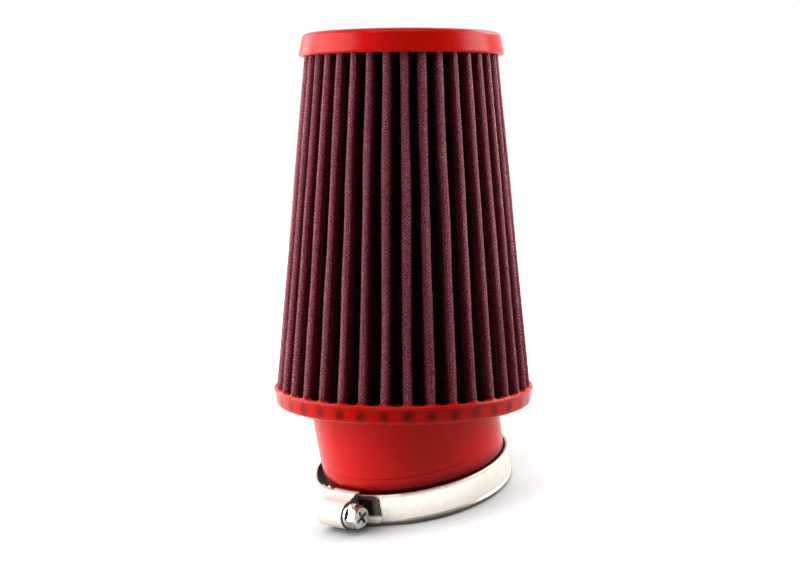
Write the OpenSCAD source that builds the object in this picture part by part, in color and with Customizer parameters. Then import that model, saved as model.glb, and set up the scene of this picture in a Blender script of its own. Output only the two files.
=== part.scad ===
// Cone air filter: a pleated gauze cone between two cast polyurethane ends, on a neck set at an
// angle to the cone, with a worm drive clamp lying loose around the neck.
// +Z is the neck's axis and Z = 0 is the neck's mouth, which the filter stands on.

/* [Neck] */
// Inner diameter of the neck, which slides over a duct
neck_bore_d = 65; // [55:0.5:72]
// Outer diameter of the neck
neck_d = 76.3; // [74:0.1:77]
// Length of the neck's axis from the mouth to the flange's underside
neck_len = 37.4; // [34:0.1:60]
// Angle between the neck's axis and the cone's axis
lean = 12.1; // [0:0.1:16]
// Outer diameter of the neck's reduced end
nose_d = 72; // [70:0.1:74]
// Height at which the neck starts to round in towards its reduced end
nose_top = 14.1; // [11:0.1:20]
// Radius of the rounding between the neck and its reduced end
nose_round = 10; // [6:0.5:16]
// Rounding of the mouth's outer edge
mouth_round = 1; // [0.4:0.1:1.6]
// Height of the mould's parting line above the mouth
parting_z = 18.6; // [16:0.1:25]
// How far the neck steps in below the parting line
parting_step = 0.18; // [0.05:0.01:0.3]

/* [Flange] */
// Diameter of the flange
flange_d = 104.8; // [104.4:0.1:112]
// Height of the flange, to the top of its rim
flange_h = 7.2; // [6:0.1:12]
// Rounding of the flange's lower edge
flange_round = 1.8; // [0.5:0.1:2.5]
// How far the lip round the flange's top stands out
lip_out = 0.9; // [0.3:0.1:1.5]
// Height of that lip
lip_h = 1.4; // [1:0.1:2]
// Height of the rim that stands round the feet of the pleats
rim_h = 0.9; // [0.4:0.1:1.5]
// Slant height of the funnel between the cone's inside and the neck's bore
funnel_h = 3.6; // [1:0.1:4.5]
// Diameter of the funnel's wide end
funnel_d = 75; // [70:0.5:76]

/* [Cap] */
// Diameter of the cap at its lower edge
cap_d = 82.8; // [80:0.1:90]
// Height of the cap
cap_h = 9; // [6:0.1:14]
// How much the cap's side narrows on each side, from its lower edge to its top
cap_draft = 1.2; // [0:0.1:2]
// Rounding of the cap's upper edge
cap_round = 2.4; // [1:0.1:3]
// Rounding of the cap's lower edge
cap_foot_round = 0.7; // [0.3:0.1:1]

/* [Pleats] */
// Number of pleats
pleat_count = 36; // [30:1:38]
// Direction of the first pleat's crest, from the side that the cone leans to
pleat_start = 1; // [0:0.5:12]
// Height of the cone from the flange's underside to the cap
cone_h = 141; // [100:1:180]
// Outer diameter of the pleated cone at the flange
cone_base_d = 104.2; // [102:0.1:104.3]
// Outer diameter of the pleated cone at the cap
cone_top_d = 78.2; // [76:0.1:79.6]
// Depth of a pleat
pleat_depth = 13; // [8:0.5:13.5]
// Outer radius of each fold
fold_r = 1.72; // [1.65:0.01:1.9]
// Thickness of the cotton gauze
gauze_t = 0.9; // [0.6:0.05:1]
// Thickness of each wire mesh
mesh_t = 0.3; // [0.2:0.05:0.35]
// Clearance between a mesh and the gauze
ply_gap = 0.05; // [0.03:0.01:0.08]
// Flat faces along the bend of each fold
fold_faces = 5; // [3:1:6]

/* [Clamp band] */
// Width of the band
band_w = 12; // [9:0.5:12]
// Thickness of the band
band_t = 0.8; // [0.6:0.05:0.9]
// How much wider than the neck the band lies opened
band_play = 2.7; // [2.3:0.1:3.7]
// How far the band's rolled edges stand out
edge_out = 0.4; // [0.2:0.05:0.6]
// Height of each rolled edge
edge_h = 1.1; // [0.8:0.1:1.6]
// Clearance between the band's two layers
lap_gap = 0.05; // [0.03:0.01:0.1]
// Angle that the band's inner end reaches past the middle of the housing
inner_end = 25; // [20:1:35]
// Angle that the band's tail reaches past the middle of the housing
tail_end = 22; // [16:1:30]
// Angle past the tail's end at which the band's rolled edges start
edge_start = 13; // [4:1:20]
// Angle over which the band climbs onto its own inner end
climb = 28; // [20:1:40]
// Pitch of the grooves pressed into the tail
groove_pitch = 2.5; // [2:0.1:3]
// Depth of those grooves
groove_depth = 0.3; // [0.1:0.05:0.4]
// Angle of the grooves to the band's axis
groove_slant = 5; // [0:1:8]
// Direction of the housing round the neck
housing_angle = 187.5; // [150:0.5:230]
// Direction in which the loose clamp lies off the neck's axis
clamp_shift_angle = 139; // [120:1:160]
// Height of the clamp's housing above the surface the filter stands on
housing_lift = 0; // [0:0.1:2]

/* [Clamp housing and screw] */
// Length of the housing along the band
housing_len = 13; // [11:0.5:14]
// Thickness of the housing's sheet
sheet_t = 0.9; // [0.7:0.05:1]
// Clearance between the housing and the band
band_gap = 0.1; // [0.05:0.01:0.15]
// Diameter of the worm
worm_d = 9.2; // [8:0.1:9.4]
// Clearance between the worm and the band's tail
worm_gap = 0.25; // [0.2:0.05:0.5]
// Clearance around and along the worm in its barrel
barrel_gap = 0.15; // [0.1:0.01:0.25]
// Diameter of the screw's journals, which turn in the barrel's ends
journal_d = 6; // [5:0.1:6.4]
// Running clearance of the journals
journal_gap = 0.08; // [0.03:0.01:0.1]
// Diameter of the collar under the screw's head
collar_d = 10; // [9:0.1:10.4]
// Thickness of that collar
collar_t = 1.4; // [1:0.1:2]
// Width of the hexagonal head across its flats
hex_af = 8; // [7:0.1:8.5]
// Height of the hexagonal head
hex_h = 4.6; // [3:0.1:5.5]
// Width of the slots of the screw's cross recess
recess_w = 1.3; // [0.8:0.1:1.6]
// Depth of the cross recess
recess_depth = 2.2; // [1:0.1:2.6]

/* [Hidden] */
$fn = 96;
// A cut reaches this far past the faces that it goes through
over = 1;
polyurethane = [0.72, 0.04, 0.03];
gauze_red = [0.42, 0.08, 0.12];
wire_grey = [0.55, 0.38, 0.42];
steel = [0.86, 0.85, 0.81];

neck_r = neck_d / 2;
bore_r = neck_bore_d / 2;
nose_r = nose_d / 2;
flange_r = flange_d / 2;
// The pleats stand on the flange's seat, inside its rim
seat_h = flange_h - rim_h;
rim_gap = 0.1;

// The pack of mesh, gauze and mesh, measured through its thickness
pack_t = gauze_t + 2 * mesh_t + 2 * ply_gap;
fold_mid = fold_r - pack_t / 2;
half_pitch = 180 / pleat_count;
// Offsets of the plies from the middle of the pack, positive outwards
gauze_face = gauze_t / 2;
mesh_face = gauze_face + ply_gap;
pack_face = pack_t / 2;

// The clamp lies with its housing on the ground, against one side of the neck
touch_gap = 0.3;
band_d = neck_d + band_play;
clamp_shift = band_play / 2 - touch_gap;
housing_w = band_w + 2 * band_gap + 2 * sheet_t;
band_mid_z = housing_lift + housing_w / 2;
lap_r = band_d / 2 + band_t + lap_gap;
tail_r = lap_r + band_t;
screw_r = tail_r + worm_gap + worm_d / 2;
barrel_r = worm_d / 2 + barrel_gap;
journal_r = journal_d / 2;
// The worm fills the barrel between the two end walls
worm_len = housing_len - 2 * sheet_t - 2 * barrel_gap;
strap_r = band_d / 2 - band_gap - sheet_t;

// Moves its children onto the cone's axis, with Z = 0 on the flange's underside
module on_cone() {
    translate([0, 0, neck_len]) rotate([0, lean, 0]) children();
}

// Moves its children to the clamp, with the housing in the direction of +X and
// Z = 0 at the middle of the band's width
module on_clamp() {
    translate([clamp_shift * cos(clamp_shift_angle), clamp_shift * sin(clamp_shift_angle), band_mid_z])
        rotate([0, 0, housing_angle])
            children();
}

// Moves its children onto the screw's axis, with +Z towards the screw's head
module on_screw() {
    on_clamp() translate([screw_r, 0, 0]) rotate([-90, 0, 0]) children();
}

// Points of an arc round centre c, from angle a to angle b
function arc(c, r, a, b, steps = 8) =
    [for (i = [0 : steps]) let (t = a + (b - a) * i / steps) [c[0] + r * cos(t), c[1] + r * sin(t)]];

// Neck and flange

// Depth below nose_top at which the rounding meets the reduced end
nose_drop = sqrt(nose_round ^ 2 - (nose_round - (neck_r - parting_step - nose_r)) ^ 2);
nose_sweep = asin(nose_drop / nose_round);

module neck_outside(top) {
    step_r = neck_r - parting_step;
    rotate_extrude()
        polygon(concat(
            [[0, 0]],
            arc([nose_r - mouth_round, mouth_round], mouth_round, -90, 0),
            arc([step_r - nose_round, nose_top], nose_round, -nose_sweep, 0),
            [[step_r, parting_z], [neck_r, parting_z + parting_step], [neck_r, top], [0, top]]));
}

module flange_outside() {
    lip_r = lip_h / 2;
    rim_r = cone_base_d / 2 + rim_gap;
    rotate_extrude()
        polygon(concat(
            [[0, 0]],
            arc([flange_r - flange_round, flange_round], flange_round, -90, 0),
            arc([flange_r + lip_out - lip_r, flange_h - lip_r], lip_r, -90, 60),
            [[rim_r, flange_h], [rim_r, seat_h], [0, seat_h]]));
}

module neck_flange() {
    // The neck's tube is long enough to reach the flange's seat on its high side
    tube_h = neck_len + seat_h + neck_r * tan(lean) + over;
    color(polyurethane)
        difference() {
            union() {
                on_cone() flange_outside();
                neck_outside(tube_h);
            }
            on_cone() translate([0, 0, seat_h]) cylinder(h = tube_h, r = neck_r * 1.2);
            translate([0, 0, -over]) cylinder(h = tube_h + 2 * over, r = bore_r);
            on_cone() translate([0, 0, seat_h - funnel_h])
                cylinder(h = funnel_h, r1 = bore_r - over, r2 = funnel_d / 2);
        }
}

// Cap

module top_cap() {
    foot_r = cap_d / 2 - cap_foot_round;
    head_r = cap_d / 2 - cap_draft - cap_round;
    color(polyurethane)
        on_cone() translate([0, 0, cone_h])
            rotate_extrude()
                polygon(concat(
                    [[0, 0]],
                    arc([foot_r, cap_foot_round], cap_foot_round, -90, 0),
                    arc([head_r, cap_h - cap_round], cap_round, 0, 90),
                    [[0, cap_h]]));
}

// Pleats

// Angle from a crest's middle to the end of its bend, where the straight side starts. Each side
// touches the crest's bend and the valley's bend, whose centres lie at radii c and v.
function bend_angle(c, v) =
    let (dx = v * cos(half_pitch) - c, dy = v * sin(half_pitch))
    atan2(dy, dx) - acos(2 * fold_mid / norm([dx, dy]));

// Outline of one face of the pleats at one height, offset outwards from the middle of the pack
function pleat_outline(outer_r, offset) =
    let (c = outer_r - fold_r,
         v = outer_r - pleat_depth + fold_r,
         bend = bend_angle(c, v))
    [for (k = [0 : pleat_count - 1])
        let (a = pleat_start + 2 * half_pitch * k, b = a + half_pitch, valley_bend = bend - half_pitch)
        each concat(
            arc([c * cos(a), c * sin(a)], fold_mid + offset, a - bend, a + bend, fold_faces),
            arc([v * cos(b), v * sin(b)], fold_mid - offset,
                b + 180 + valley_bend, b + 180 - valley_bend, fold_faces))];

function at_height(outline, z) = [for (p = outline) [p[0], p[1], z]];

// Two triangles for each step along a closed strip, from run a to run b of n points each. A strip
// that faces the other way is cut along the same diagonals, so that plies stay clear of each other.
function strip(a, b, n) =
    [for (i = [0 : n - 1]) let (j = (i + 1) % n) each [[a + i, b + i, b + j], [a + i, b + j, a + j]]];
function strip_facing_back(a, b, n) = [for (t = strip(a, b, n)) [t[0], t[2], t[1]]];

// One pleated ply between two offsets from the middle of the pack
module pleated_ply(outer, inner) {
    base = cone_base_d / 2;
    top = cone_top_d / 2;
    points = concat(
        at_height(pleat_outline(base, outer), seat_h), at_height(pleat_outline(top, outer), cone_h),
        at_height(pleat_outline(base, inner), seat_h), at_height(pleat_outline(top, inner), cone_h));
    n = len(points) / 4;
    on_cone()
        polyhedron(points, concat(
            strip(0, n, n), strip(n, 3 * n, n), strip_facing_back(2 * n, 3 * n, n), strip(2 * n, 0, n)));
}

module gauze_media() {
    color(gauze_red) pleated_ply(gauze_face, -gauze_face);
}

module outer_mesh() {
    color(wire_grey) pleated_ply(pack_face, mesh_face);
}

module inner_mesh() {
    color(wire_grey) pleated_ply(-mesh_face, -pack_face);
}

// Clamp

// The middle of the band's section, which runs on across the place where two stretches meet
module band_core(r, at) {
    reach = 2;
    cover = band_t / 4;
    rotate([0, 0, at - reach])
        rotate_extrude(angle = 2 * reach)
            translate([r + cover, -band_w / 4]) square([band_t - 2 * cover, band_w / 2]);
}

// A stretch of band whose edges are rolled outwards
module rolled_band(r, from, to) {
    h = band_w / 2;
    rotate([0, 0, from])
        rotate_extrude(angle = to - from)
            polygon([
                [r, edge_h - h], [r + edge_out * 0.5, -h], [r + band_t + edge_out * 0.6, -h],
                [r + band_t + edge_out, 0.35 * edge_h - h], [r + band_t, edge_h * 1.3 - h],
                [r + band_t, h - edge_h * 1.3], [r + band_t + edge_out, h - 0.35 * edge_h],
                [r + band_t + edge_out * 0.6, h], [r + edge_out * 0.5, h], [r, h - edge_h]]);
}

// The band's tail, which climbs from the band's own circle onto its inner end and lies on it
module tail_strip(from, to) {
    step = 2;
    rise = lap_r - band_d / 2;
    function climbed(t) = t <= 0 ? 0 : t >= 1 ? 1 : t * t * (3 - 2 * t);
    function at(a, extra) =
        (band_d / 2 + rise * climbed((a - from) / climb) + extra) * [cos(a), sin(a)];
    translate([0, 0, -band_w / 2])
        linear_extrude(band_w)
            polygon(concat(
                [for (a = [from : step : to]) at(a, 0)],
                [for (a = [to : -step : from]) at(a, band_t)]));
}

// Outline of the tail seen from outside, with the corners of its end rounded
module tail_outline(corner) {
    reach = tail_r * sin(tail_end);
    half_w = band_w / 2;
    rotate([90, 0, 90])
        linear_extrude(tail_r + over)
            polygon(concat(
                [[-tail_r, -half_w]],
                arc([reach - corner, corner - half_w], corner, -90, 0),
                arc([reach - corner, half_w - corner], corner, 0, 90),
                [[-tail_r, half_w]]));
}

module clamp_band() {
    own_r = band_d / 2;
    // The tail is cut to its length and shape from a strip this much longer, in degrees
    spare = 6;
    // Where the tail lies on the band, the band has no rolled edges and is this much thinner
    flattened = 0.05;
    groove_step = groove_pitch / tail_r * 180 / PI;
    groove_len = band_w * 0.7;
    groove_w = groove_pitch * 0.45;
    rolled_from = tail_end + edge_start;
    climb_from = -inner_end - climb;
    rolled_to = 360 + climb_from;
    color(steel)
        on_clamp() {
            difference() {
                rolled_band(own_r, -inner_end, rolled_to);
                rotate([0, 0, -inner_end - spare])
                    rotate_extrude(angle = rolled_from + inner_end + spare)
                        translate([own_r + band_t - flattened, -band_w])
                            square([edge_out + over, 2 * band_w]);
            }
            band_core(own_r, rolled_to);
            difference() {
                intersection() {
                    tail_strip(climb_from, tail_end + spare);
                    tail_outline(3);
                }
                for (a = [-inner_end + groove_step : groove_step : tail_end - 2 * groove_step])
                    rotate([groove_slant, 0, a])
                        translate([tail_r, 0, 0])
                            cube([2 * groove_depth, groove_w, groove_len], center = true);
            }
        }
}

// Section of the housing across the band: a barrel on a strap that is bent round the band
module housing_section() {
    w = housing_w / 2;
    barrel_out = barrel_r + sheet_t;
    shoulder = tail_r + band_gap + sheet_t;
    translate([screw_r, 0]) circle(r = barrel_out);
    polygon([
        [strap_r, -w], [shoulder - 0.4, -w], [shoulder + 0.5, 0.6 - w], [screw_r - 1, -barrel_out],
        [screw_r, -barrel_out], [screw_r, barrel_out], [screw_r - 1, barrel_out],
        [shoulder + 0.5, w - 0.6], [shoulder - 0.4, w], [strap_r, w]]);
}

module clamp_housing() {
    channel = band_w / 2 + band_gap;
    color(steel)
        difference() {
            on_clamp() rotate([90, 0, 0])
                linear_extrude(housing_len, center = true) housing_section();
            // The channel that the band's two layers run through
            on_clamp() rotate_extrude()
                translate([strap_r + sheet_t, -channel])
                    square([tail_r + band_gap - strap_r - sheet_t, 2 * channel]);
            // The barrel, and its two end walls with a hole for each journal
            on_screw() cylinder(h = housing_len - 2 * sheet_t, r = barrel_r, center = true);
            on_screw() cylinder(h = housing_len + 2 * over, r = journal_r + journal_gap, center = true);
        }
}

module clamp_screw() {
    collar_z = housing_len / 2 + barrel_gap;
    head_z = collar_z + collar_t;
    top_z = head_z + hex_h;
    corner_r = hex_af / 2 / cos(30);
    tip_z = -housing_len / 2 - 0.6;
    color(steel)
        on_screw()
            difference() {
                union() {
                    translate([0, 0, -worm_len / 2]) cylinder(h = worm_len, d = worm_d);
                    translate([0, 0, tip_z]) cylinder(h = collar_z - tip_z, r = journal_r);
                    translate([0, 0, collar_z]) cylinder(h = collar_t, d = collar_d);
                    // The head's corners are turned down at its end
                    translate([0, 0, head_z])
                        intersection() {
                            cylinder(h = hex_h, r = corner_r, $fn = 6);
                            cylinder(h = hex_h, r1 = corner_r + hex_h, r2 = hex_af / 2 - 0.2);
                        }
                }
                for (turn = [0, 90])
                    translate([0, 0, top_z])
                        rotate([0, 0, turn + 20])
                            cube([hex_af * 0.72, recess_w, 2 * recess_depth], center = true);
            }
}

neck_flange();
top_cap();
gauze_media();
outer_mesh();
inner_mesh();
clamp_band();
clamp_housing();
clamp_screw();
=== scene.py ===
import math

import bpy
from mathutils import Matrix, Vector, noise


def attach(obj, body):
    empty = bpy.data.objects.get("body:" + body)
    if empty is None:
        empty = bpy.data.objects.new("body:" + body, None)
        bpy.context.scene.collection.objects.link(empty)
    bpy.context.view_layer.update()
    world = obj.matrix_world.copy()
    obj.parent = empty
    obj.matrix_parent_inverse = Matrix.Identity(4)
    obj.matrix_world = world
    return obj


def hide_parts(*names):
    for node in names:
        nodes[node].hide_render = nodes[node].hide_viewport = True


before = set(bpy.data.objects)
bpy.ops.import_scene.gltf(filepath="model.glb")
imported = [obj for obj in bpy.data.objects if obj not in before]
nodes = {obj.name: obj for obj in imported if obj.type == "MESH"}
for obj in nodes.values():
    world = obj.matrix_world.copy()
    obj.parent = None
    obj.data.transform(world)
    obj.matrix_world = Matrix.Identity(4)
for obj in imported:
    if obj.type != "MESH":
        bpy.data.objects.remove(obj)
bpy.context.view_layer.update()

# Sizes are in millimetres, and MM makes them metres where a mesh or a material needs that
MM = 0.001

# The cone's axis leans from the neck's axis, and starts on the flange's underside
NECK_LEN = 37.4
LEAN = math.radians(12.1)

# Pleats, as in the part's source
PLEATS = 36
PLEAT_START = math.radians(1)
HALF_PITCH = math.pi / PLEATS
BASE_R = 52.1
TOP_R = 39.1
SEAT_H = 6.3
CONE_H = 141
PLEAT_DEPTH = 13
FOLD_R = 1.72
FOLD_MID = 0.92
GAUZE_T = 0.9

# Flange, the mould's parting line round the neck, and the height below which painted shade darkens
# the neck
FLANGE_R = 52.4
FLANGE_H = 7.2
PARTING_Z = 18.6
NECK_SHADE_Z = 12.4

# Clamp: the centre of its band, the band's inside radius, the middle and half the width of the
# angle that the grooved end of its tail covers, and the housing's end along the screw's axis
CLAMP_X = -0.79
CLAMP_Y = 0.69
CLAMP_Z = 7.0
BAND_R = 39.5
TAIL_AT = math.radians(-156.6)
TAIL_HALF = math.radians(6.4)
SCREW_AXIS = (0.130526, -0.991445, 0)
HOUSING_END = 6.44

# Radii between the two faces of the band, between those of the tail over it, and past the tail
BAND_FACE_R = BAND_R + 0.2
TAIL_R = BAND_R + 1.2
HOUSING_R = BAND_R + 1.9

# Studio, in metres, with the camera's place and axes in the model's frame
CAMERA_PLACE = Vector((-367.44, -462.96, 230.63)) * MM
CAMERA_RIGHT = Vector((0.73934546, -0.65266196, -0.16553143))
CAMERA_UP = Vector((0.27885543, 0.0730325, 0.95755204))
CAMERA_BACK = Vector((-0.61286862, -0.75412109, 0.23599458))
LENS_MM = 67.5
SENSOR_W = 36
STUDIO_MIDDLE = Vector((0.015, 0, 0.1))
FLOOR_R = 0.55
FLOOR_DROP = 0.0001

# Soft lamps: how far each is to the camera's right of the studio's middle, ahead of it and above
# it, its width and height, all in metres, and its power in watts
SOFTBOXES = {
    "left_softbox": (-0.75, -0.05, 0.32, 0.8, 0.8, 11),
    "right_softbox": (0.72, 0.08, 0.1, 0.45, 0.7, 5.9),
    "top_softbox": (0, -0.3, 0.9, 0.9, 0.7, 3.6),
    "back_left_softbox": (-0.5, 0.5, 0.12, 0.3, 0.6, 1.7),
    "back_right_softbox": (0.5, 0.45, 0.3, 0.3, 0.3, 1.5)}


def deselect_all():
    bpy.ops.object.select_all(action="DESELECT")


def make_active(piece):
    deselect_all()
    piece.select_set(True)
    bpy.context.view_layer.objects.active = piece


def cone_point(x, y, z):
    """A point in the cone's frame, in millimetres, as a point of the model in metres."""
    c, s = math.cos(LEAN), math.sin(LEAN)
    return Vector((x * c + z * s, y, NECK_LEN - x * s + z * c)) * MM


def finish_piece(piece, body, material):
    """Gives a modelled piece its material and body."""
    piece.data.materials.clear()
    piece.data.materials.append(material)
    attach(piece, body)


def apply_modifiers(piece):
    make_active(piece)
    for modifier in list(piece.modifiers):
        bpy.ops.object.modifier_apply(modifier=modifier.name)


# Pleat outlines

def bend_angle(c, v):
    """Angle from a crest's middle to the end of its bend, for bends centred at radii c and v."""
    dx = v * math.cos(HALF_PITCH) - c
    dy = v * math.sin(HALF_PITCH)
    return math.atan2(dy, dx) - math.acos(2 * FOLD_MID / math.hypot(dx, dy))


def arc(centre, r, a, b, steps):
    """Points of an arc from angle a to angle b."""
    angles = [a + (b - a) * i / steps for i in range(steps + 1)]
    return [(centre[0] + r * math.cos(t), centre[1] + r * math.sin(t)) for t in angles]


def between(p, q, shares):
    """Points at shares of the straight stretch from p to q."""
    return [(p[0] + (q[0] - p[0]) * s, p[1] + (q[1] - p[1]) * s) for s in shares]


def pleat_outline(outer_r, offset, crest_steps, flank_shares, valley_steps):
    """Closed outline of the pleats at one height, offset outwards from the middle of the pack.
    The flanks have points at shares of the way from crest to valley."""
    c = outer_r - FOLD_R
    v = outer_r - PLEAT_DEPTH + FOLD_R
    bend = bend_angle(c, v)
    valley_bend = bend - HALF_PITCH
    outline = []
    for k in range(PLEATS):
        a = PLEAT_START + 2 * HALF_PITCH * k
        b = a + HALF_PITCH
        after = a + 2 * HALF_PITCH
        crest_centre = (c * math.cos(a), c * math.sin(a))
        valley_centre = (v * math.cos(b), v * math.sin(b))
        crest = arc(crest_centre, FOLD_MID + offset, a - bend, a + bend, crest_steps)
        valley = arc(valley_centre, FOLD_MID - offset,
                     b + math.pi + valley_bend, b + math.pi - valley_bend, valley_steps)
        next_crest = (c * math.cos(after) + (FOLD_MID + offset) * math.cos(after - bend),
                      c * math.sin(after) + (FOLD_MID + offset) * math.sin(after - bend))
        outline += crest + between(crest[-1], valley[0], flank_shares)
        outline += valley + between(next_crest, valley[-1], flank_shares)[::-1]
    return outline


def noise_around(angle, z, detail, stretch, shift):
    """Noise on the cone's surface, finer round it with detail, longer along it with stretch."""
    return noise.noise(Vector((math.cos(angle) * detail, math.sin(angle) * detail,
                               z / stretch + shift)))


def hand_folded(x, y, z):
    """Moves a point of the pleats a little to one side, as folds set by hand lie."""
    cast_in = 12
    slow_wander, quick_wander = 0.5, 0.28
    lift, highest_lift = 0.22, 0.08
    angle = math.atan2(y, x)
    r = math.hypot(x, y)
    # The ends are cast in, so the folds wander only between them
    free = min(1, (z - SEAT_H) / cast_in) * min(1, (CONE_H - z) / cast_in)
    slow = noise_around(angle, z, 5, 60, 0)
    quick = noise_around(angle, z, 16, 22, 9)
    turned = angle + (slow_wander * slow + quick_wander * quick) * free / r
    lifted = r + min(lift * noise_around(angle, z, 9, 40, 30) * free, highest_lift)
    return lifted * math.cos(turned), lifted * math.sin(turned)


class PleatedFace:
    """A pleated face at one offset from the middle of the pack, straight from base to top."""

    def __init__(self, offset, crest_steps, flank_shares, valley_steps):
        steps = (crest_steps, flank_shares, valley_steps)
        self.base = pleat_outline(BASE_R, offset, *steps)
        self.top = pleat_outline(TOP_R, offset, *steps)
        self.count = len(self.base)
        # The way along the base from its first point to each of the next
        self.run = [0]
        for i in range(self.count):
            p, q = self.base[i], self.base[(i + 1) % self.count]
            self.run.append(self.run[-1] + math.dist(p, q))

    def at(self, i, share):
        """The point of column i at a share of the way from base to top, in metres."""
        p, q = self.base[i % self.count], self.top[i % self.count]
        z = SEAT_H + (CONE_H - SEAT_H) * share
        x, y = hand_folded(p[0] + (q[0] - p[0]) * share, p[1] + (q[1] - p[1]) * share, z)
        return cone_point(x, y, z)

    def wires(self, columns, levels):
        """Paths from base to top, one along each of the columns."""
        return [[self.at(i, j / levels) for j in range(levels + 1)] for i in columns]


# Meshes

def tube_grid(name, columns, rows):
    """A tube to be shaped, and the column and row of each of its points."""
    radius, step = 0.05, 0.001
    deselect_all()
    bpy.ops.mesh.primitive_circle_add(vertices=columns, radius=radius)
    piece = bpy.context.object
    piece.name = name
    bpy.ops.object.mode_set(mode="EDIT")
    bpy.ops.mesh.select_all(action="SELECT")
    for _ in range(rows):
        bpy.ops.mesh.extrude_region_move(TRANSFORM_OT_translate={"value": (0, 0, step)})
    bpy.ops.object.mode_set(mode="OBJECT")
    grid = []
    for v in piece.data.vertices:
        turn = math.atan2(v.co.y, v.co.x) / (2 * math.pi)
        grid.append((round(turn * columns) % columns, round(v.co.z / step)))
    return piece, grid


def pleated_sheet(name, face, rows):
    """A sheet that follows a pleated face, with a UV map in millimetres along and across it."""
    piece, grid = tube_grid(name, face.count, rows)
    mesh = piece.data
    for v, (i, j) in zip(mesh.vertices, grid):
        v.co = face.at(i, j / rows)
    layer = mesh.uv_layers.new(name="cloth")
    height = CONE_H - SEAT_H
    for polygon in mesh.polygons:
        corners = [(l, *grid[mesh.loops[l].vertex_index]) for l in polygon.loop_indices]
        columns = [i for _, i, _ in corners]
        # The last face of a row ends where the first one starts
        wraps = max(columns) - min(columns) > 1
        for l, i, j in corners:
            u = face.run[face.count] if wraps and i == 0 else face.run[i]
            layer.data[l].uv = (u, height * j / rows)
    return piece


def wire_piece(name, paths, radius, closed):
    """Wires along paths of points, as one mesh."""
    curve = bpy.data.curves.new(name, "CURVE")
    curve.dimensions = "3D"
    curve.bevel_depth = radius * MM
    curve.bevel_resolution = 0
    curve.use_fill_caps = not closed
    for path in paths:
        spline = curve.splines.new("POLY")
        spline.points.add(len(path) - 1)
        spline.points.foreach_set("co", [c for p in path for c in (*p, 1)])
        spline.use_cyclic_u = closed
    piece = bpy.data.objects.new(name, curve)
    bpy.context.scene.collection.objects.link(piece)
    make_active(piece)
    bpy.ops.object.convert(target="MESH")
    piece = bpy.context.object
    piece.data.name = name
    bpy.ops.object.shade_smooth()
    return piece


# Materials

def is_link(value):
    return hasattr(value, "is_output")


class Nodes:
    """A node tree, with short calls to add nodes to it."""

    def __init__(self, tree):
        self.tree = tree

    def add(self, kind, inputs=(), **settings):
        """Adds a node. Each of its inputs takes a value, or a link from another node."""
        made = self.tree.nodes.new(kind)
        for key, value in settings.items():
            setattr(made, key, value)
        for key, value in dict(inputs).items():
            if is_link(value):
                self.tree.links.new(value, made.inputs[key])
            else:
                made.inputs[key].default_value = value
        return made

    def math(self, operation, a, b=0.0):
        return self.add("ShaderNodeMath", {0: a, 1: b}, operation=operation).outputs[0]

    def plus(self, a, b):
        return self.math("ADD", a, b)

    def minus(self, a, b):
        return self.math("SUBTRACT", a, b)

    def times(self, a, b):
        return self.math("MULTIPLY", a, b)

    def hypot(self, a, b):
        return self.math("SQRT", self.plus(self.times(a, a), self.times(b, b)))

    def off(self, value, target):
        """How far a value is from a target, to either side."""
        return self.math("ABSOLUTE", self.minus(value, target))

    def parts(self, vector):
        """The x, y and z of a vector."""
        return self.add("ShaderNodeSeparateXYZ", {0: vector}).outputs

    def dot(self, vector, direction):
        made = self.add("ShaderNodeVectorMath", {0: vector, 1: direction},
                        operation="DOT_PRODUCT")
        return made.outputs["Value"]

    def ramp(self, value, low, high, to_low=0.0, to_high=1.0):
        """A smooth way from to_low to to_high, as the value goes from low to high."""
        made = self.add("ShaderNodeMapRange",
                        {"Value": value, "From Min": low, "From Max": high,
                         "To Min": to_low, "To Max": to_high}, interpolation_type="SMOOTHSTEP")
        return made.outputs["Result"]

    def ramp_mm(self, value, low, high, to_low=0.0, to_high=1.0):
        """The same for a value in metres, with low and high in millimetres."""
        return self.ramp(value, low * MM, high * MM, to_low, to_high)

    def blend(self, share, a, b):
        """Number a, with a share of number b in its place."""
        return self.add("ShaderNodeMix", {0: share, 2: a, 3: b}).outputs[0]

    def mix(self, share, a, b):
        """Colour a, with a share of colour b in its place."""
        a, b = [c if is_link(c) else (*c, 1) for c in (a, b)]
        return self.add("ShaderNodeMix", {0: share, 6: a, 7: b}, data_type="RGBA").outputs[2]

    def noise(self, vector, scale, detail=2.0, roughness=0.5):
        made = self.add("ShaderNodeTexNoise", {"Vector": vector, "Scale": scale,
                                               "Detail": detail, "Roughness": roughness})
        return made.outputs["Fac"]

    def object_coordinates(self):
        return self.add("ShaderNodeTexCoord").outputs["Object"]

    def mapping(self, vector, location=(0, 0, 0), rotation=(0, 0, 0), scale=(1, 1, 1),
                kind="POINT"):
        made = self.add("ShaderNodeMapping", {"Vector": vector, "Location": location,
                                              "Rotation": rotation, "Scale": scale},
                        vector_type=kind)
        return made.outputs[0]

    def bump(self, height, strength, distance_mm, before=None):
        """A normal bent by a height. Another bump may come before it."""
        made = self.add("ShaderNodeBump", {"Height": height, "Strength": strength,
                                           "Distance": distance_mm * MM})
        if before is not None:
            self.tree.links.new(before, made.inputs["Normal"])
        return made.outputs[0]


class Surface(Nodes):
    """A principled material. Its settings have the names of sockets, with _ for a space."""

    def __init__(self, name, **settings):
        self.material = bpy.data.materials.new(name)
        self.material.use_nodes = True
        super().__init__(self.material.node_tree)
        self.shader = self.tree.nodes["Principled BSDF"]
        for socket, value in settings.items():
            self.shader.inputs[socket.replace("_", " ")].default_value = value

    def use(self, **links):
        for socket, value in links.items():
            self.tree.links.new(value, self.shader.inputs[socket.replace("_", " ")])
        return self.material


def cone_coordinates(s):
    """Coordinates of the cone's frame: its Z runs along the cone from the flange's underside."""
    return s.mapping(s.object_coordinates(), location=(0, 0, NECK_LEN * MM),
                     rotation=(0, LEAN, 0), kind="TEXTURE")


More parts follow.
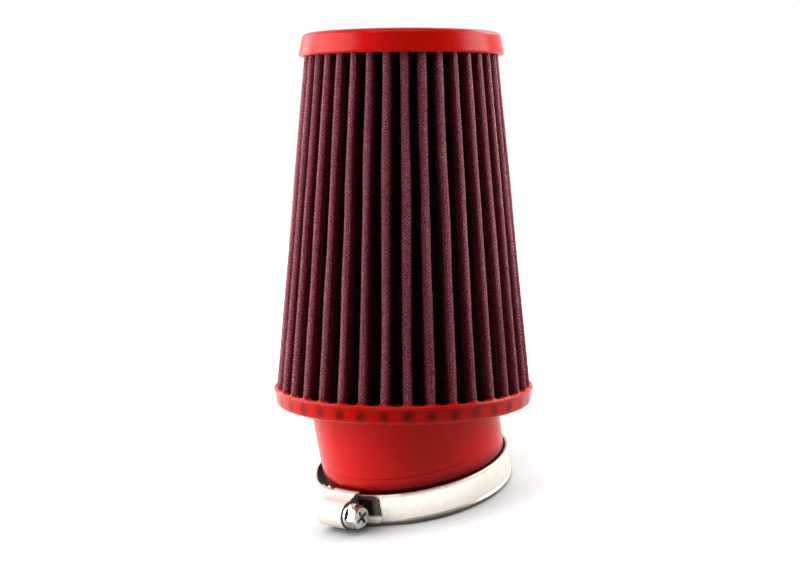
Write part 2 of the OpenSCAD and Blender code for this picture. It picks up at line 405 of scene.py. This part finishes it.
def pleat_depth(s):
    """How deep a point lies below the crests, in metres."""
    x, y, z = s.parts(cone_coordinates(s))
    taper = (BASE_R - TOP_R) / (CONE_H - SEAT_H)
    crest = s.minus((BASE_R + taper * SEAT_H) * MM, s.times(z, taper))
    return s.minus(crest, s.hypot(x, y))


def with_foot_marks(s, place, red):
    """The flange's side, darker, with marks where the feet of the crests show through the cast."""
    side_red, mark_red = (0.45, 0.002, 0.001), (0.13, 0.003, 0.002)
    mark_w, mark_h, mark_z = 2.1, 2.3, 3.3
    side_from, side_full = FLANGE_R - 1.9, FLANGE_R - 0.6
    x, y, z = s.parts(cone_coordinates(s))
    pleat = s.math("DIVIDE", s.minus(s.math("ARCTAN2", y, x), PLEAT_START), 2 * HALF_PITCH)
    # Counted from half a pleat on, and from above zero, so that each crest comes to 0
    off_crest = s.minus(s.math("FRACT", s.plus(pleat, PLEATS + 0.5)), 0.5)
    along = s.times(off_crest, 2 * HALF_PITCH * FLANGE_R / mark_w)
    rise = s.math("DIVIDE", s.minus(z, mark_z * MM), mark_h * MM)
    wobble = s.times(s.minus(s.noise(place, 260, 2), 0.5), 0.7)
    mark = s.ramp(s.plus(s.hypot(along, rise), wobble), 1.6, 0.1)
    on_side = s.ramp_mm(s.hypot(x, y), side_from, side_full)
    red = s.mix(s.times(on_side, 0.3), red, side_red)
    return s.mix(s.times(s.times(mark, on_side), 0.85), red, mark_red)


def with_neck_marks(s, place, red, normal):
    """The mould's fine line round the neck, and below it painted shade that darkens the neck's
    end.
    """
    line_red, neck_shade_red = (0.2, 0.001, 0.001), (0.02, 0.0, 0.0)
    height = s.parts(place)[2]
    line = s.ramp_mm(s.off(height, PARTING_Z * MM), 0.28, 0.05)
    red = s.mix(s.times(line, 0.4), red, line_red)
    # Painted shade, darkest at the neck's end by the clamp
    red = s.mix(s.ramp_mm(height, PARTING_Z, NECK_SHADE_Z, 0.0, 0.93), red, neck_shade_red)
    return red, s.bump(line, 0.5, 0.2, normal)


def with_dark_climb(s, red):
    """The cast rim, darker where it climbs up the crests."""
    z = s.parts(cone_coordinates(s))[2]
    climbing = s.ramp_mm(z, FLANGE_H - 0.1, FLANGE_H + 0.8, 0.0, 0.75)
    return s.mix(climbing, red, (0.17, 0.002, 0.004))


def cast_polyurethane(name, is_flange=False, is_rim=False):
    """Glossy red cast polyurethane, which lets a little light through."""
    red, light_red = (0.70, 0.005, 0.002), (0.74, 0.008, 0.003)
    s = Surface(name, Roughness=0.24, Subsurface_Weight=0.06, Subsurface_Scale=0.003,
                Subsurface_Radius=(1.0, 0.12, 0.06), IOR=1.5, Specular_IOR_Level=0.14,
                Sheen_Weight=0.12, Sheen_Roughness=0.3)
    place = s.object_coordinates()
    colour = s.mix(s.noise(place, 40, 2), red, light_red)
    grain = s.noise(place, 2600, 2)
    flow = s.noise(s.mapping(place, scale=(1, 1, 0.5)), 90, 2)
    rough = s.ramp(s.noise(place, 400, 3), 0.3, 0.7, 0.22, 0.28)
    normal = s.bump(grain, 0.03, 0.04, s.bump(flow, 0.03, 0.4))
    if is_flange:
        colour = with_foot_marks(s, place, colour)
        colour, normal = with_neck_marks(s, place, colour, normal)
    if is_rim:
        colour = with_dark_climb(s, colour)
    return s.use(Base_Color=colour, Roughness=rough, Normal=normal)


def oiled_cotton():
    """Cotton gauze, dark with oil, woven square with its threads less than a millimetre apart."""
    thread_pitch = 0.7
    dark_soaked, light_soaked = (0.24, 0.010, 0.027), (0.34, 0.020, 0.045)
    gap_colour, fuzz_colour = (0.03, 0.003, 0.005), (0.36, 0.07, 0.095)
    fold_shade_colour = (0.006, 0.001, 0.001)
    s = Surface("oiled_cotton_gauze", Roughness=0.62, Specular_IOR_Level=0.35)
    uv = s.add("ShaderNodeUVMap", uv_map="cloth").outputs[0]
    u, v, _ = s.parts(uv)
    warp, weft = [s.math("ABSOLUTE", s.math("SINE", s.times(c, math.pi / thread_pitch)))
                  for c in (u, v)]
    weave = s.math("MAXIMUM", warp, weft)
    fuzz = s.noise(uv, 2.6, 4, 0.6)
    cloud = s.noise(s.mapping(uv, scale=(0.12, 0.03, 1)), 1.0, 3)
    colour = s.mix(cloud, dark_soaked, light_soaked)
    colour = s.mix(s.ramp(weave, 0.5, 1.0, 0.5, 0.0), colour, gap_colour)
    colour = s.mix(s.ramp(fuzz, 0.55, 0.75, 0.0, 0.3), colour, fuzz_colour)
    # Painted shade darkens the depth of the folds
    colour = s.mix(s.ramp_mm(pleat_depth(s), 1.2, 4.8, 0.0, 0.92), colour, fold_shade_colour)
    normal = s.bump(s.plus(weave, s.times(fuzz, 0.8)), 0.7, 0.12)
    return s.use(Base_Color=colour, Normal=normal)


def coated_wire():
    """Aluminium wire with a thin coat and oil stains, with painted highlights where the wires
    cross and in small specks.
    """
    # Painted highlights at the crossings come once in about two rings, and five times round each
    # pleat
    row_pitch, columns_per_pleat = 1.45, 5
    dark_stain, light_stain = (0.16, 0.007, 0.022), (0.27, 0.025, 0.050)
    crossing_highlight_colour, speck_highlight_colour = (0.82, 0.28, 0.35), (0.92, 0.52, 0.58)
    flank_shade_colour, fold_shade_colour = (0.22, 0.011, 0.028), (0.03, 0.002, 0.004)
    s = Surface("coated_wire", Metallic=0.4, Roughness=0.3, Specular_IOR_Level=0.7)
    place = s.object_coordinates()
    stain = s.noise(place, 400, 3)
    speck = s.noise(place, 1900, 2)
    drift = s.noise(place, 260, 2)
    x, y, height = s.parts(cone_coordinates(s))
    row = s.math("SINE", s.plus(s.times(height, 2 * math.pi / (row_pitch * MM)),
                                s.times(drift, 6)))
    column = s.math("SINE", s.times(s.math("ARCTAN2", y, x), columns_per_pleat * PLEATS))
    crossing_highlight = s.times(row, s.plus(s.times(column, 1.6), 0.35))
    colour = s.mix(s.ramp(stain, 0.35, 0.65), dark_stain, light_stain)
    colour = s.mix(s.ramp(crossing_highlight, 0.0, 0.8, 0.0, 0.9), colour, crossing_highlight_colour)
    # Painted highlights in small specks
    colour = s.mix(s.ramp(speck, 0.52, 0.68, 0.0, 0.45), colour, speck_highlight_colour)
    # Painted shade: the flanks darker than the crests, and darker still in the folds' depth
    depth = pleat_depth(s)
    colour = s.mix(s.ramp_mm(depth, -0.6, 1.1, 0.0, 0.85), colour, flank_shade_colour)
    colour = s.mix(s.ramp_mm(depth, 1.2, 4.6, 0.0, 0.85), colour, fold_shade_colour)
    rough = s.ramp(speck, 0.3, 0.7, 0.22, 0.36)
    return s.use(Base_Color=colour, Roughness=rough)


def woven_inner_wire():
    """The inner mesh: wires about a millimetre apart, with oiled gauze between them."""
    wire_pitch = 1.0
    dark_gauze, light_gauze = (0.09, 0.006, 0.014), (0.2, 0.02, 0.035)
    wire_colour = (0.42, 0.2, 0.22)
    s = Surface("inner_wire_cloth", Roughness=0.4)
    x, y, z = s.parts(cone_coordinates(s))
    ring, line = [s.math("SINE", s.times(way, 2 * math.pi / (wire_pitch * MM)))
                  for way in (z, s.hypot(x, y))]
    wire = s.ramp(s.math("MAXIMUM", ring, line), 0.45, 0.75)
    stain = s.noise(s.object_coordinates(), 300, 3)
    colour = s.mix(wire, s.mix(stain, dark_gauze, light_gauze), wire_colour)
    return s.use(Base_Color=colour, Roughness=s.ramp(wire, 0, 1, 0.6, 0.35),
                 Metallic=s.times(wire, 0.6), Normal=s.bump(wire, 0.8, 0.25))


def rolled_steel(name, metallic):
    """Bright stainless strip, with the fine grain of rolling along its length."""
    bright, scuffed = (0.93, 0.88, 0.79), (0.84, 0.78, 0.69)
    inner_shade_colour, tail_shade_colour = (0.07, 0.045, 0.042), (0.03, 0.025, 0.025)
    end_shade_colour, foot_shade_colour = (0.06, 0.05, 0.05), (0.10, 0.05, 0.04)
    strip_r = 0.04
    s = Surface(name, Metallic=metallic, Roughness=0.25)
    place = s.object_coordinates()
    around = s.mapping(place, location=(CLAMP_X * MM, CLAMP_Y * MM, 0), kind="TEXTURE")
    x, y, z = s.parts(around)
    angle, out = s.math("ARCTAN2", y, x), s.hypot(x, y)
    # The strip laid flat, so that the grain follows its length
    strip = s.add("ShaderNodeCombineXYZ", {0: s.times(angle, strip_r), 1: z}).outputs[0]
    grain = s.noise(s.mapping(strip, scale=(40, 9000, 1)), 1.0, 3, 0.6)
    scuff = s.noise(place, 240, 4, 0.6)
    colour = s.mix(s.ramp(scuff, 0.45, 0.8), bright, scuffed)
    # The face towards the neck is dull, and painted dark as shade between the band and the neck
    inside = s.ramp_mm(out, BAND_FACE_R + 0.1, BAND_FACE_R - 0.1)
    colour = s.mix(s.times(inside, 0.92), colour, inner_shade_colour)
    # The grooved end of the tail is painted dark for shade and dark reflection in its grooves
    tail = s.times(s.ramp_mm(out, TAIL_R - 0.1, TAIL_R + 0.1),
                   s.ramp(s.off(angle, TAIL_AT), TAIL_HALF + 0.01, TAIL_HALF))
    tail = s.times(tail, s.ramp_mm(z, 3.6, 5.2))
    colour = s.mix(s.times(tail, 0.95), colour, tail_shade_colour)
    # The cut end of the housing, round the screw's collar, painted dark as shade in the barrel's
    # mouth
    cut = s.times(s.ramp_mm(s.dot(around, SCREW_AXIS), HOUSING_END - 0.02, HOUSING_END + 0.02),
                  s.ramp_mm(out, HOUSING_R - 0.1, HOUSING_R + 0.1))
    colour = s.mix(s.times(cut, 0.85), colour, end_shade_colour)
    # The rolled edges are duller, and the lower one is painted dark as shade where it meets the
    # ground
    edge = s.ramp_mm(s.off(z, CLAMP_Z * MM), 4.4, 5.0)
    colour = s.mix(s.times(s.ramp_mm(z, 2.2, 1.4), 0.8), colour, foot_shade_colour)
    rough = s.plus(s.ramp(grain, 0.3, 0.7, 0.2, 0.28), s.ramp(scuff, 0.5, 0.85, 0, 0.06))
    rough = s.plus(rough, s.times(s.math("MAXIMUM", inside, edge), 0.25))
    normal = s.bump(grain, 0.04, 0.02, s.bump(s.noise(place, 90, 2), 0.02, 0.3))
    return s.use(Base_Color=colour, Roughness=rough, Normal=normal)


def plated_screw():
    """Bright plating over turned steel."""
    bright, scuffed = (0.66, 0.64, 0.62), (0.46, 0.42, 0.38)
    s = Surface("plated_screw_steel", Metallic=1.0, Roughness=0.2)
    scuff = s.noise(s.object_coordinates(), 500, 4, 0.6)
    colour = s.mix(s.ramp(scuff, 0.45, 0.75), bright, scuffed)
    rough = s.ramp(scuff, 0.35, 0.75, 0.14, 0.36)
    return s.use(Base_Color=colour, Roughness=rough, Normal=s.bump(scuff, 0.12, 0.05))


def paint_node(name, material):
    """Puts a material on every slot of a CAD node."""
    piece = nodes[name]
    if not piece.material_slots:
        piece.data.materials.append(material)
    for place in piece.material_slots:
        place.material = material


# Pieces

def make_gauze():
    """The pleated gauze, as one folded cloth of its real thickness."""
    rows = 28
    face = PleatedFace(offset=0, crest_steps=6, flank_shares=[0.5], valley_steps=4)
    piece = pleated_sheet("pleated_gauze", face, rows)
    solid = piece.modifiers.new("cloth_thickness", "SOLIDIFY")
    solid.thickness = GAUZE_T * MM
    solid.offset = 0
    apply_modifiers(piece)
    bpy.ops.object.shade_smooth()
    finish_piece(piece, "filter", oiled_cotton())
    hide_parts("gauze_media")


def make_outer_mesh():
    """The outer wire mesh: rings woven over and under the wires that run along the pleats."""
    pitch = 0.74
    ring_r, along_r = 0.115, 0.14
    middle, swing = 0.64, 0.2
    ring_wander = 0.35
    # Columns of points round one pleat: nine over the crest, one on each flank, two in the valley
    crest_steps, flank_share, valley_steps = 8, 0.125, 1
    columns = crest_steps + 1 + 2 + valley_steps + 1
    in_valley = (crest_steps + 2, crest_steps + 3)
    along_levels, fold_levels = 18, 12
    wire = coated_wire()
    under, level, over = [PleatedFace(middle + out, crest_steps, [flank_share], valley_steps)
                          for out in (-swing, 0, swing)]
    rings = round(math.hypot(BASE_R - TOP_R, CONE_H - SEAT_H) / pitch)

    def ring_point(i, j):
        """The point where ring j crosses column i: it goes over one wire, then under the next."""
        wander = ring_wander * noise.noise(Vector((i * 0.12, j * 0.5, 4))) / CONE_H
        share = (j + 0.5) / rings + wander
        if i % columns in in_valley:
            return level.at(i, share)
        return (over if (i + j) % 2 else under).at(i, share)

    def add_wires(name, paths, radius, closed, groups):
        for g in range(groups):
            chosen = paths[g * len(paths) // groups:(g + 1) * len(paths) // groups]
            piece = wire_piece(f"{name}_{g + 1}", chosen, radius, closed)
            finish_piece(piece, "filter", wire)
            if closed and g == 0:
                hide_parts("outer_mesh")

    add_wires("mesh_rings", [[ring_point(i, j) for i in range(level.count)] for j in range(rings)],
              ring_r, closed=True, groups=4)
    on_crests = [i for i in range(level.count) if i % columns not in in_valley]
    add_wires("mesh_wires_along", level.wires(on_crests, along_levels),
              along_r, closed=False, groups=1)
    # Those wires stop near the crests, and these lie on all of the flanks and in the valleys
    deep = PleatedFace(middle, 1, [flank_share * k for k in range(2, 8)], 1)
    add_wires("mesh_wires_in_folds", deep.wires(range(deep.count), fold_levels),
              along_r, closed=False, groups=1)


def make_cast_rim():
    """The polyurethane that climbs a little up the foot of each crest, and dips between them."""
    per_pleat = 20
    count = PLEATS * per_pleat
    climb_h, climb_w = 1.8, 2.3
    crest_c = BASE_R - FOLD_R

    def profile(i):
        """The rim's section at column i, in millimetres, as radii and heights in the cone's
        frame: up the flange's side, over its edge, in to the crest and down to the seat."""
        step = (i + per_pleat // 2) % per_pleat - per_pleat // 2
        off_crest = step / per_pleat * 2 * HALF_PITCH * BASE_R
        climb = climb_h * math.exp(-(off_crest / climb_w) ** 2)
        reach = crest_c + math.sqrt(max(0.0, (FOLD_R + 0.02) ** 2 - off_crest * off_crest))
        inner_r = max(reach - 0.25, crest_c)
        return [
            (FLANGE_R + 0.45, FLANGE_H - 0.9),
            (FLANGE_R + 0.55, FLANGE_H - 0.1),
            (FLANGE_R + 0.1, FLANGE_H + 0.05 + 0.12 * climb),
            (0.45 * (FLANGE_R + 0.1) + 0.55 * inner_r, FLANGE_H - 0.1 + 0.42 * climb),
            (inner_r + 0.05, FLANGE_H - 0.45 + climb),
            (inner_r - 0.3, FLANGE_H - 0.55 + 0.9 * climb),
            (crest_c - 0.6, SEAT_H - 0.2)]

    piece, grid = tube_grid("cast_rim", count, len(profile(0)) - 1)
    for v, (i, j) in zip(piece.data.vertices, grid):
        a = PLEAT_START + 2 * math.pi * i / count
        r, z = profile(i)[j]
        v.co = cone_point(r * math.cos(a), r * math.sin(a), z)
    # The ring is closed underneath, inside the flange
    bpy.ops.object.mode_set(mode="EDIT")
    bpy.ops.mesh.select_all(action="SELECT")
    bpy.ops.mesh.region_to_loop()
    bpy.ops.mesh.bridge_edge_loops()
    bpy.ops.mesh.select_all(action="SELECT")
    bpy.ops.mesh.normals_make_consistent(inside=False)
    bpy.ops.object.mode_set(mode="OBJECT")
    bpy.ops.object.shade_smooth()
    finish_piece(piece, "filter",
                 cast_polyurethane("cast_rim_polyurethane", is_rim=True))


# Studio

def level_direction(direction, rise=0.0):
    """A direction laid level, or with a rise."""
    return Vector((direction.x, direction.y, rise)).normalized()


def make_camera():
    data = bpy.data.cameras.new("camera")
    data.lens = LENS_MM
    data.sensor_width = SENSOR_W
    data.sensor_fit = "HORIZONTAL"
    data.clip_start = 0.01
    camera = bpy.data.objects.new("camera", data)
    turn = Matrix((CAMERA_RIGHT, CAMERA_UP, CAMERA_BACK)).transposed()
    camera.matrix_world = Matrix.Translation(CAMERA_PLACE) @ turn.to_4x4()
    bpy.context.scene.collection.objects.link(camera)
    bpy.context.scene.camera = camera


def make_softbox(name, side, ahead, above, width, height, power):
    """A soft lamp that faces the studio's middle."""
    data = bpy.data.lights.new(name, "AREA")
    data.shape = "RECTANGLE"
    data.size = width
    data.size_y = height
    data.energy = power
    lamp = bpy.data.objects.new(name, data)
    lamp.location = (STUDIO_MIDDLE + level_direction(CAMERA_RIGHT) * side
                     + level_direction(-CAMERA_BACK) * ahead + Vector((0, 0, above)))
    aim = STUDIO_MIDDLE - lamp.location
    lamp.rotation_euler = aim.to_track_quat("-Z", "Y").to_euler()
    bpy.context.scene.collection.objects.link(lamp)


def make_world():
    """A white studio behind and beside the object, and a dark one behind the camera."""
    world = bpy.data.worlds.new("studio")
    world.use_nodes = True
    bpy.context.scene.world = world
    n = Nodes(world.node_tree)
    background = n.tree.nodes["Background"]
    background.inputs["Color"].default_value = (1, 1, 1, 1)
    path = n.add("ShaderNodeLightPath").outputs
    place = n.add("ShaderNodeTexCoord").outputs["Generated"]
    lit = n.ramp(n.dot(place, level_direction(CAMERA_BACK, 0.25)), 0.25, -0.35, 0.0, 1.05)
    # Gloss sees the studio in full, plain light is a fifth of it, and the camera sees white
    shiny = n.math("MAXIMUM", path["Is Glossy Ray"], path["Is Transmission Ray"])
    strength = n.blend(path["Is Camera Ray"], n.blend(shiny, n.times(lit, 0.2), lit), 1.0)
    n.tree.links.new(strength, background.inputs["Strength"])


def make_floor():
    """A white floor, which keeps the object's shadow."""
    deselect_all()
    bpy.ops.mesh.primitive_circle_add(vertices=96, radius=FLOOR_R, fill_type="NGON",
                                      location=(0, 0, -FLOOR_DROP))
    floor = bpy.context.object
    floor.name = "floor"
    bpy.ops.object.transform_apply(location=True)
    s = Surface("floor_white", Base_Color=(0.4, 0.4, 0.4, 1), Roughness=1.0,
                Specular_IOR_Level=0.0, Emission_Color=(1, 1, 1, 1))
    path = s.add("ShaderNodeLightPath").outputs
    place = s.object_coordinates()
    # The floor glows a little more away from the object, where the lamps reach it less
    out = s.add("ShaderNodeVectorMath", {0: place}, operation="LENGTH").outputs["Value"]
    wide = s.ramp(out, 0.1, 0.42, 0.82, 1.0)
    # Gloss sees a dark card that lies in front of the object
    ahead = s.dot(place, level_direction(CAMERA_BACK))
    card = s.ramp(ahead, 0.09, 0.17, 1.12, 0.1)
    # The contact shadow is deepest in front, where no lamp stands
    near = s.add("ShaderNodeAmbientOcclusion", {"Distance": 0.03}).outputs["AO"]
    shade = s.math("POWER", near, s.ramp(ahead, 0.0, 0.045, 0.6, 2.2))
    plain = s.math("MAXIMUM", path["Is Camera Ray"], path["Is Transmission Ray"])
    seen = s.math("MAXIMUM", plain, s.times(path["Is Glossy Ray"], card))
    material = s.use(Emission_Strength=s.times(seen, s.times(shade, wide)))
    floor.data.materials.append(material)


bpy.context.scene.view_settings.view_transform = "Standard"
deselect_all()
make_camera()
make_world()
make_floor()
for lamp_name, lamp_values in SOFTBOXES.items():
    make_softbox(lamp_name, *lamp_values)

paint_node("top_cap", cast_polyurethane("cap_polyurethane"))
paint_node("neck_flange", cast_polyurethane("flange_polyurethane", is_flange=True))
paint_node("inner_mesh", woven_inner_wire())
paint_node("clamp_band", rolled_steel("rolled_stainless", 0.9))
paint_node("clamp_housing", rolled_steel("satin_stainless", 0.38))
paint_node("clamp_screw", plated_screw())
make_gauze()
make_outer_mesh()
make_cast_rim()
